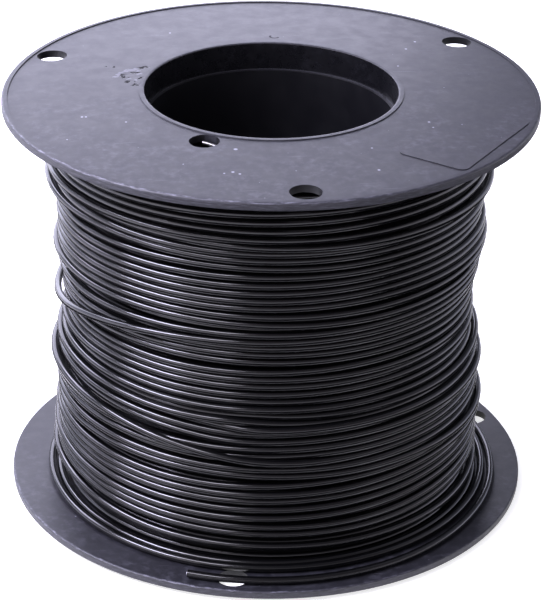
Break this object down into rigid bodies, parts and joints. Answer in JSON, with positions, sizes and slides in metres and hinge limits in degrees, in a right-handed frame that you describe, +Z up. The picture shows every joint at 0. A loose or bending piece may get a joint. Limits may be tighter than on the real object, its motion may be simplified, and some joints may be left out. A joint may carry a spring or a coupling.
{
  "type": "wire spool",
  "caption": "Round two-flange spool with a hollow barrel, wound full of thin black insulated wire, with a slack loop and a loose cut end.",
  "frame": {"origin": "middle of the circle on which the lower bore lip stands, on the surface below", "axes": "+Z up along the bore; the loose cut end of the wire lies at -115 degrees from +X"},
  "size_m": [0.2, 0.2, 0.1616],
  "materials": {
    "flange_plastic": "moulded polystyrene, dark grey, satin with dust and scuffs",
    "barrel_plastic": "moulded polystyrene, dark grey, satin",
    "wire_sheath": "black PVC sheath, smooth, half gloss",
    "tinned_copper": "tinned copper, cut through"
  },
  "bodies": {
    "root": {"upper_flange": "flange_plastic", "lower_flange": "flange_plastic", "barrel": "barrel_plastic", "inner_windings": "wire_sheath", "outer_windings": "wire_sheath", "wire_start_tail": "wire_sheath", "copper_conductor": "tinned_copper"}
  },
  "joints": []
}
